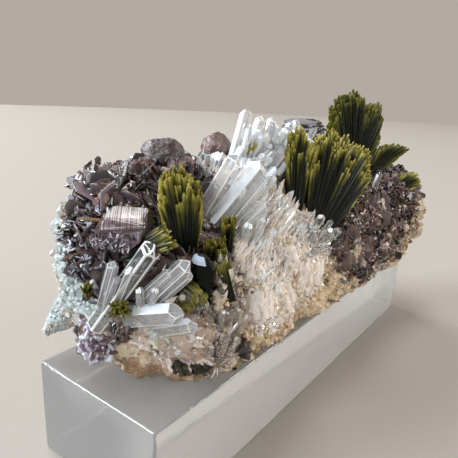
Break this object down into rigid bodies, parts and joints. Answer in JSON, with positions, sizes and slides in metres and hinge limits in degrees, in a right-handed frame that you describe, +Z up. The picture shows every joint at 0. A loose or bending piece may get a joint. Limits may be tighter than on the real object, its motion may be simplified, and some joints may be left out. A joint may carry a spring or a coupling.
{
  "type": "epidote crystal cluster on a display block",
  "caption": "Epidote, quartz and axinite crystals on their matrix rock, resting on a clear acrylic display block.",
  "frame": {"origin": "the middle of the acrylic block's underside", "axes": "+Z up, +X along the block from the near left end of the pictured view to its far end, +Y towards the back, away from the pictured side"},
  "size_m": [0.1318, 0.043, 0.0744],
  "materials": {
    "acrylic": "clear, polished acrylic with fine bright edges",
    "matrix": "rough, cream to ochre matrix rock, stained tan low down and pale green at the left end",
    "axinite": "glossy violet-brown axinite plates with lilac and blue-white glints",
    "druse": "milky, pinkish-beige quartz needles with bright glints",
    "epidote": "lustrous, striated epidote, black-green inside with yellow-green ends and edges",
    "dark_epidote": "lustrous, striated, nearly black-green epidote",
    "quartz": "clear rock crystal with growth lines across its faces",
    "chlorite": "dull, granular, dark green-grey chlorite"
  },
  "bodies": {
    "root": {"acrylic_block": "acrylic", "matrix_rock": "matrix", "axinite_crust_left": "axinite", "axinite_crust_right": "axinite", "quartz_druse": "druse", "quartz_mass_left": "druse", "epidote_fan_front": "epidote", "epidote_fan_back": "epidote", "epidote_fan_left": "epidote", "quartz_prisms_main": "quartz", "quartz_long_left": "quartz", "quartz_stubby_left": "quartz", "quartz_flat_left": "quartz", "quartz_prism_second": "quartz", "epidote_prism_dark": "dark_epidote", "epidote_blades_middle": "epidote", "epidote_blade_lower": "epidote", "epidote_blade_forked": "epidote", "epidote_blades_low": "epidote", "epidote_tuft_right": "dark_epidote", "epidote_spray_right": "epidote", "epidote_tuft_low": "epidote", "epidote_pair_top": "epidote", "axinite_wedge": "axinite", "axinite_dome_left": "axinite", "axinite_dome_right": "axinite", "axinite_plate_back": "axinite", "axinite_cluster_low": "axinite", "quartz_crown": "quartz", "quartz_points_crest": "quartz", "quartz_points_front": "quartz", "quartz_point_right": "quartz", "quartz_points_low": "quartz", "axinite_grain_low": "axinite", "chlorite_patch": "chlorite"}
  },
  "joints": []
}
